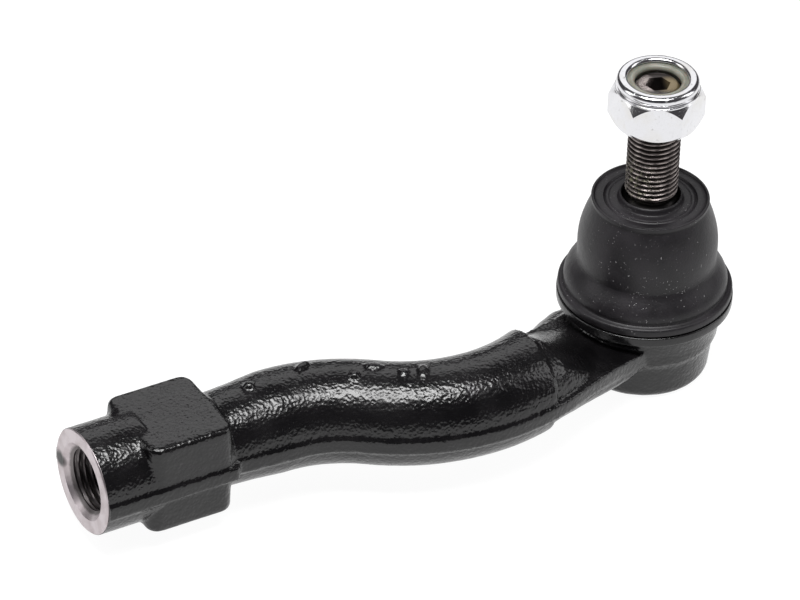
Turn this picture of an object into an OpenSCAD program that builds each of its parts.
// Outer tie rod end: a forged arm with a female thread for the rod at one end and a ball
// joint at the other. The origin is the centre of the ball. +Z runs up the stud, and the
// rod leaves along -X. The threads are plain cylinders at their working diameters.

/* [Rod end] */
// Distance from the ball's centre to the machined mouth of the rod end
arm_length = 144.7; // [130:0.1:170]
// Outer diameter of the round rod end
rod_end_d = 24.6; // [23:0.1:28]
// Nominal diameter of the rod's thread
rod_thread_d = 16; // [14:1:18]
// Pitch of the rod's thread
rod_thread_pitch = 1.5; // [1:0.25:2]
// Length of the thread in the rod end, past its countersink
rod_thread_length = 36; // [25:1:42]
// Diameter of the countersink at the mouth
mouth_countersink_d = 18.6; // [17:0.1:20]

/* [Spanner block] */
// Distance from the ball's centre to the block's face on the rod side
block_start = 133.6; // [125:0.1:136]
// Length of the block along the rod
block_length = 21.2; // [14:0.1:24]
// Height across the block's top and bottom flats
block_flats = 23; // [22:0.1:26]
// Width of the block's top and bottom flats
block_top_w = 22.4; // [16:0.1:24]
// Width of the block at the forging's parting line
block_mid_w = 24.2; // [22:0.1:28]

/* [Arm] */
// Diameter of the arm through its bend
arm_d = 23.4; // [20:0.1:25]
// Diameter of the arm where it leaves the spanner block
arm_root_d = 21; // [19:0.1:24]
// Distance from the ball's centre to the start of the bend
bend_start = 98; // [90:0.5:102]
// Radius of the first, outward bend at the arm's centreline
bend_out_r = 37; // [30:0.5:45]
// Angle of the first bend
bend_out_angle = 36.5; // [25:0.5:40]
// Radius of the second, returning bend at the arm's centreline
bend_back_r = 42; // [40:0.5:55]
// Height of the raised land that the forging's flash leaves round the arm
land_h = 3.6; // [2:0.1:5]
// How far that land stands out of the arm
land_proud = 0.5; // [0.2:0.1:1.2]
// How far the land's middle lies under the arm's centreline
land_drop = 0.7; // [0:0.1:1.5]
// Diameter of the neck's round underside where it runs into the socket
neck_end_d = 19; // [17:0.1:22]
// How far the neck's outer side stands from its axis where it meets the socket
neck_outer_w = 12; // [11:0.1:14]
// How far its inner side does, which flares more
neck_inner_w = 16; // [12:0.1:17]

/* [Socket] */
// Diameter of the socket just above its rounded bottom edge
socket_bottom_d = 31.2; // [29:0.1:32]
// Diameter of the socket at the lower edge of its flash land
socket_mid_d = 33; // [31:0.1:34]
// Diameter of the socket under the boot
socket_top_d = 36.6; // [34:0.1:39]
// Distance from the ball's centre down to the socket's bottom
socket_depth = 16.2; // [16:0.1:19]
// Diameter of the neck that carries the boot's ring
socket_neck_d = 28.4; // [27:0.1:30]

/* [Ball stud] */
// Diameter of the ball
ball_d = 20; // [18:0.1:21]
// Diameter of the neck between ball and taper
stud_neck_d = 9.6; // [8:0.1:10]
// Large diameter of the seating taper
taper_big_d = 14.2; // [13:0.1:15]
// Small diameter of the seating taper
taper_small_d = 12.6; // [12.2:0.1:13]
// Nominal diameter of the stud's thread
stud_thread_d = 12; // [10:1:12]
// Pitch of the stud's thread
stud_thread_pitch = 1.25; // [1:0.25:1.75]
// Height of the stud's tip above the ball's centre
stud_top = 60.6; // [55:0.1:70]
// Size across flats of the hexagon socket in the stud's tip
stud_socket_af = 5; // [4:0.5:6]

/* [Dust boot] */
// Diameter of the boot's flange on the socket
boot_flange_d = 40; // [38:0.1:42]
// Diameter of the boot's body halfway up
boot_body_d = 32; // [30:0.1:36]
// Diameter of the boot's flat top
boot_top_d = 27; // [24:0.1:30]
// Height of the boot's top above the ball's centre
boot_top = 29.9; // [27:0.1:33]
// Thickness of the rubber wall
boot_wall = 1.6; // [1:0.1:2.5]
// Diameter of the hole that the stud passes through
boot_hole_d = 14.6; // [14:0.1:16]

/* [Lock nut] */
// Width across the nut's flats
nut_flats = 19; // [17:1:19]
// Height of the nut's seating face above the ball's centre at rest
nut_seat = 50.8; // [45:0.1:60]
// Height of the nut's hexagon with its chamfers
nut_hex_h = 9.4; // [8:0.1:10]
// Overall height of the nut with its rolled collar
nut_h = 11.7; // [11:0.1:13]
// Diameter of the rolled collar
nut_collar_d = 18; // [17:0.1:18.5]
// Direction that one flat of the nut faces, from +X
nut_turn = 239; // [210:1:269]

/* [Hidden] */
$fn = 96;
// Play between a thread's plain cylinders, on the radius
thread_play = 0.05;
// Play between parts that ride on different bodies, on the radius
seat_play = 0.05;

// Female thread's wall: its minor diameter
rod_minor_d = rod_thread_d - 1.0825 * rod_thread_pitch;
countersink_h = (mouth_countersink_d - rod_minor_d) / 2;
rod_bore_end = arm_length - countersink_h - rod_thread_length;
drill_tip_h = 4;

// The arm's centreline: straight, bent outwards, bent back, then straight to the ball
mid_x = -bend_start + bend_out_r * sin(bend_out_angle);
mid_y = -bend_out_r * (1 - cos(bend_out_angle));
low_x = mid_x + bend_back_r * sin(bend_out_angle);
back_centre_y = mid_y + bend_back_r * cos(bend_out_angle);
// The last straight is the tangent from the ball's centre to the second bend
ball_reach = sqrt(low_x * low_x + back_centre_y * back_centre_y);
tangent_angle = asin(bend_back_r / ball_reach) - atan2(back_centre_y, -low_x);
bend_back_angle = bend_out_angle + tangent_angle;
neck_length = sqrt(ball_reach * ball_reach - bend_back_r * bend_back_r);

seat_wall = 1.5;
pocket_r = ball_d / 2 + seat_wall;
socket_top = 7.2;
lip_z = 6.4;
lip_r = sqrt(pocket_r * pocket_r - lip_z * lip_z);
seat_inside_r = ball_d / 2 + seat_play;
seat_outside_r = pocket_r - 0.05;
seat_top = 5.6;
seat_split = 0.6;
plate_t = 2;
plate_rim = 1;
plate_d = 2 * pocket_r + 2 * plate_rim;
rolled_edge = 0.9;
plate_top = -socket_depth + rolled_edge + plate_t;
seat_bottom = -ball_d / 2 - 1;
spring_t = 0.8;

base_ring_low = 1.95;
base_ring_high = 4.35;
base_ring_d = 40.4;
boot_base = 4.6;
flange_h = 2.2;

ring_d = 24.4;
ring_hole_d = 17;
ring_t = 1.2;

insert_low = 7.9;
insert_d = 14.6;

// A cylinder along X from x1 to x2
module along_x(x1, x2, d) {
    translate([x1, 0, 0])
        rotate([0, 90, 0])
            cylinder(h = x2 - x1, d = d);
}

// A bar of the given section swept round a bend: the section's own X points outwards
module bend(r, angle) {
    rotate_extrude(angle = angle)
        translate([r, 0])
            children();
}

// A point on the first bend, a degrees along it and off mm to the +Y side of the centreline
function on_bend_out(a, off) = [
    -bend_start + (bend_out_r + off) * sin(a),
    -bend_out_r + (bend_out_r + off) * cos(a)
];

// The same on the second bend, whose heading is a degrees from the rod's
function on_bend_back(a, off) = [
    low_x + (bend_back_r - off) * sin(a),
    back_centre_y - (bend_back_r - off) * cos(a)
];

// One side of the flash land in plan, from the spanner block to the end of the second bend
function land_side(off_root, off) = concat(
    [[-block_start + 1, off_root]],
    [for (i = [0 : 6]) on_bend_out(bend_out_angle * i / 6, off)],
    [for (i = [1 : 8]) on_bend_back(-bend_out_angle + bend_back_angle * i / 8, off)]
);

// The round arm: a cone out of the spanner block, then both bends. The balls at the two
// changes of curve are a hair larger than the bar, so that the pieces join cleanly.
module arm() {
    knuckle_d = arm_d + 0.06;
    translate([-block_start + block_length - 1, 0, 0])
        rotate([0, 90, 0])
            cylinder(h = block_start - block_length + 1 - bend_start, d1 = arm_root_d, d2 = arm_d);
    translate([-bend_start, -bend_out_r, 0])
        rotate([0, 0, 90 - bend_out_angle])
            bend(bend_out_r, bend_out_angle)
                circle(d = arm_d);
    translate([low_x, back_centre_y, 0])
        rotate([0, 0, 270 - bend_out_angle])
            bend(bend_back_r, bend_back_angle)
                circle(d = arm_d);
    for (joint = [[-bend_start, 0, 0], [mid_x, mid_y, 0]])
        translate(joint)
            sphere(d = knuckle_d);
}

// The flash land follows the arm as a flat strip
module flash_land() {
    near = land_side(-arm_root_d / 2 - land_proud, -arm_d / 2 - land_proud);
    far = land_side(arm_root_d / 2 + land_proud, arm_d / 2 + land_proud);
    translate([0, 0, -land_h / 2 - land_drop])
        linear_extrude(height = land_h)
            polygon(concat(near, [for (i = [len(far) - 1 : -1 : 0]) far[i]]));
}

// The neck: the arm's round lower half runs on to the socket, and its top slopes down from a
// step to a low shelf under the boot's ring, while its inner side flares to the socket's
module neck() {
    top_z = arm_d / 2 - 1.2;
    shelf_z = -0.3;
    shelf_start = 20;
    side_low = -5;
    past_bend = neck_length + 0.5;
    cone_end = 8;
    flare_end = 14;
    half_arm = arm_d / 2;
    rotate([0, 0, tangent_angle])
        intersection() {
            union() {
                translate([-past_bend, 0, 0])
                    rotate([0, 90, 0])
                        cylinder(h = past_bend - cone_end, d1 = arm_d - 1.2, d2 = neck_end_d);
                translate([0, 0, side_low])
                    linear_extrude(height = shelf_z - side_low)
                        polygon([
                            [-past_bend + 5, -half_arm], [-cone_end, -neck_outer_w],
                            [0, -neck_outer_w], [0, neck_inner_w], [-flare_end, neck_inner_w],
                            [-past_bend + 5, half_arm]
                        ]);
            }
            rotate([90, 0, 0])
                linear_extrude(height = 2 * arm_d, center = true)
                    polygon([
                        [-past_bend, -arm_d], [-past_bend, top_z], [-shelf_start, shelf_z],
                        [0, shelf_z], [0, -arm_d]
                    ]);
        }
}

module spanner_block() {
    half_mid = block_mid_w / 2;
    half_top = block_top_w / 2;
    half_h = block_flats / 2;
    land_top = land_h / 2 - land_drop;
    land_low = -land_h / 2 - land_drop;
    corner = 1.4;
    translate([-block_start, 0, 0])
        rotate([90, 0, 90])
            linear_extrude(height = block_length)
                polygon([
                    [half_top - corner, half_h], [half_top, half_h - corner], [half_mid, land_top],
                    [half_mid, land_low], [half_top, corner - half_h], [half_top - corner, -half_h],
                    [corner - half_top, -half_h], [-half_top, corner - half_h], [-half_mid, land_low],
                    [-half_mid, land_top], [-half_top, half_h - corner], [corner - half_top, half_h]
                ]);
}

// Outside of the socket, from its rounded bottom edge to the neck inside the boot
module socket_blank() {
    round_r = 2.2;
    edge_r = socket_bottom_d / 2;
    mid_r = socket_mid_d / 2;
    top_r = socket_top_d / 2;
    neck_r = socket_neck_d / 2;
    shelf_z = base_ring_low - 0.1;
    rotate_extrude()
        polygon(concat(
            [[0, -socket_depth]],
            [for (a = [0 : 15 : 90])
                [edge_r - round_r + round_r * sin(a), -socket_depth + round_r - round_r * cos(a)]],
            [[mid_r, -6.4], [mid_r + 0.7, -5.8], [mid_r + 1.1, -2.8], [top_r, shelf_z - 0.3],
             [top_r - 0.8, shelf_z], [neck_r, shelf_z], [neck_r, socket_top], [0, socket_top]]
        ));
}

// Everything that is cut out of the socket: seat pocket, mouth, and the end plate's recess
module socket_cavity() {
    recess_r = plate_d / 2;
    opening_r = recess_r - 0.7;
    edge_top = -socket_depth + rolled_edge;
    rotate_extrude()
        polygon(concat(
            [[0, -socket_depth - 1], [opening_r, -socket_depth - 1], [opening_r, edge_top],
             [recess_r, edge_top], [recess_r, plate_top], [pocket_r, plate_top]],
            [for (z = [0 : 0.8 : lip_z]) [sqrt(pocket_r * pocket_r - z * z), z]],
            [[lip_r, lip_z], [lip_r + 0.8, socket_top + 1], [0, socket_top + 1]]
        ));
}

module housing() {
    block_core_d = block_flats - 0.4;
    color([0.06, 0.06, 0.065])
        difference() {
            union() {
                along_x(-arm_length, -block_start + 2, rod_end_d);
                along_x(-block_start, -block_start + block_length, block_core_d);
                spanner_block();
                arm();
                flash_land();
                neck();
                socket_blank();
            }
            socket_cavity();
            along_x(-arm_length - 1, -rod_bore_end, rod_minor_d);
            translate([-rod_bore_end, 0, 0])
                rotate([0, 90, 0])
                    cylinder(h = drill_tip_h, d1 = rod_minor_d, d2 = 0);
            translate([-arm_length, 0, 0])
                rotate([0, 90, 0])
                    cylinder(h = countersink_h, d1 = mouth_countersink_d, d2 = rod_minor_d);
        }
}

// Steel plate rolled into the socket's bottom
module end_plate() {
    color("dimgray")
        translate([0, 0, plate_top - plate_t])
            cylinder(h = plate_t, r = plate_d / 2 - 0.1);
}

// Dished washer between the end plate and the lower seat
module preload_spring() {
    rim_r = pocket_r - 0.4;
    hole_r = 5;
    color("silver")
        rotate_extrude()
            polygon([
                [hole_r, seat_bottom - spring_t], [rim_r, plate_top],
                [rim_r, plate_top + spring_t], [hole_r, seat_bottom]
            ]);
}

// One half of the ball's plastic seat: a ring with a spherical inside
module seat(low, high, outside) {
    steps = 8;
    heights = [for (i = [0 : steps]) high + (low - high) * i / steps];
    rotate_extrude()
        polygon(concat(outside, [for (z = heights) [sqrt(seat_inside_r * seat_inside_r - z * z), z]]));
}

module lower_ball_seat() {
    low = -8.4;
    color("ivory")
        seat(low, -seat_split / 2,
             [[sqrt(seat_inside_r * seat_inside_r - low * low), seat_bottom],
              [seat_outside_r, seat_bottom], [seat_outside_r, -seat_split / 2]]);
}

module upper_ball_seat() {
    low = seat_split / 2;
    step = (seat_top - low) / 10;
    color("ivory")
        seat(low, seat_top,
             [for (z = [low : step : seat_top]) [sqrt(seat_outside_r * seat_outside_r - z * z), z]]);
}

module ball_stud() {
    neck_high = 10.4;
    taper_low = 13.4;
    collar_low = 29.4;
    collar_high = 31.4;
    thread_r = stud_thread_d / 2;
    root_r = thread_r - 0.75;
    chamfer = 1.3;
    socket_h = 4.2;
    ball_flat_z = 0.6 - ball_d / 2;
    color([0.28, 0.24, 0.2])
        difference() {
            union() {
                sphere(d = ball_d);
                rotate_extrude()
                    polygon([
                        [0, 0], [stud_neck_d / 2, 0], [stud_neck_d / 2, neck_high],
                        [taper_big_d / 2, taper_low], [taper_small_d / 2, collar_low],
                        [taper_small_d / 2 - 0.2, collar_high - 0.8], [root_r, collar_high],
                        [root_r, collar_high + 0.8], [thread_r, collar_high + 1.6],
                        [thread_r, stud_top - chamfer], [thread_r - chamfer, stud_top], [0, stud_top]
                    ]);
            }
            translate([0, 0, stud_top - socket_h])
                cylinder(h = socket_h + 1, d = stud_socket_af / cos(30), $fn = 6);
            translate([0, 0, ball_flat_z - 1])
                cylinder(h = 1, d = ball_d);
        }
}

// Pressed steel ring that clamps the boot on the socket's neck
module boot_base_ring() {
    inner_r = socket_neck_d / 2 + 0.02;
    color([0.09, 0.09, 0.09])
        rotate_extrude()
            polygon([
                [inner_r, base_ring_low], [base_ring_d / 2, base_ring_low],
                [base_ring_d / 2, base_ring_high - 0.3], [base_ring_d / 2 - 0.3, base_ring_high],
                [inner_r, base_ring_high]
            ]);
}

// Rubber boot: a flange on the ring, a full body and a thick flat top round the stud
module dust_boot() {
    flange_r = boot_flange_d / 2;
    body_r = boot_body_d / 2;
    top_r = boot_top_d / 2;
    lip_t = 2;
    color([0.13, 0.13, 0.13])
        rotate_extrude()
            polygon([
                [socket_neck_d / 2 + 0.3, boot_base], [flange_r, boot_base], [flange_r, boot_base + flange_h],
                [flange_r - 1.3, boot_base + flange_h + 0.6], [flange_r - 1.3, boot_base + 3.7],
                [flange_r - 2.1, boot_base + 5.7], [body_r + 0.5, boot_base + 7.6],
                [body_r - 0.2, boot_base + 8.8], [body_r, boot_base + 12], [body_r, boot_top - 11.4],
                [body_r - 0.3, boot_top - 8.9], [body_r - 1.1, boot_top - 5.6],
                [top_r + 0.3, boot_top - 2.7], [top_r - 0.2, boot_top - 1.2], [top_r, boot_top - 0.8],
                [top_r, boot_top], [boot_hole_d / 2, boot_top], [boot_hole_d / 2, boot_top - lip_t],
                [top_r - 1.2, boot_top - lip_t], [top_r, boot_top - 6], [body_r - boot_wall, boot_top - 10],
                [body_r - boot_wall, boot_base + 10], [body_r + 0.5 - boot_wall, boot_base + 7.2],
                [flange_r - 3, boot_base + 3.9], [socket_neck_d / 2 + 0.3, boot_base + 2]
            ]);
}

// Steel ring inside the boot's top that keeps its hole round
module boot_top_ring() {
    z = boot_top - 2 - 0.2 - ring_t;
    color("gray")
        translate([0, 0, z])
            difference() {
                cylinder(h = ring_t, d = ring_d);
                translate([0, 0, -1])
                    cylinder(h = ring_t + 2, d = ring_hole_d);
            }
}

module nut_hexagon() {
    corner_r = nut_flats / 2 / cos(30);
    washer_r = nut_flats / 2 - 0.2;
    drop = (corner_r - washer_r) * tan(30);
    intersection() {
        rotate([0, 0, nut_turn + 30])
            cylinder(h = nut_hex_h, r = corner_r, $fn = 6);
        rotate_extrude()
            polygon([
                [0, 0], [washer_r, 0], [corner_r + 0.1, drop], [corner_r + 0.1, nut_hex_h - drop],
                [washer_r, nut_hex_h], [0, nut_hex_h]
            ]);
    }
}

module lock_nut() {
    collar_r = nut_collar_d / 2;
    bore_d = stud_thread_d + 2 * thread_play;
    color([0.82, 0.83, 0.85])
        translate([0, 0, nut_seat])
            difference() {
                union() {
                    nut_hexagon();
                    rotate_extrude()
                        polygon([
                            [0, nut_hex_h - 1], [collar_r, nut_hex_h - 1], [collar_r, nut_h - 1],
                            [collar_r - 0.8, nut_h - 0.2], [collar_r - 1.8, nut_h],
                            [0, nut_h]
                        ]);
                }
                translate([0, 0, -1])
                    cylinder(h = nut_h + 2, d = bore_d);
                translate([0, 0, insert_low])
                    cylinder(h = nut_h, d = insert_d);
                translate([0, 0, -0.01])
                    cylinder(h = 0.8, d1 = bore_d + 1.6, d2 = bore_d);
            }
}

// Nylon ring held in the nut's collar
module nylon_insert() {
    color([0.5, 0.5, 0.42])
        translate([0, 0, nut_seat + insert_low + 0.02])
            difference() {
                cylinder(h = nut_h - insert_low - 0.2, d = insert_d - 0.04);
                translate([0, 0, -1])
                    cylinder(h = nut_h, d = stud_thread_d + 2 * thread_play);
            }
}

housing();
end_plate();
preload_spring();
lower_ball_seat();
upper_ball_seat();
ball_stud();
boot_base_ring();
dust_boot();
boot_top_ring();
lock_nut();
nylon_insert();
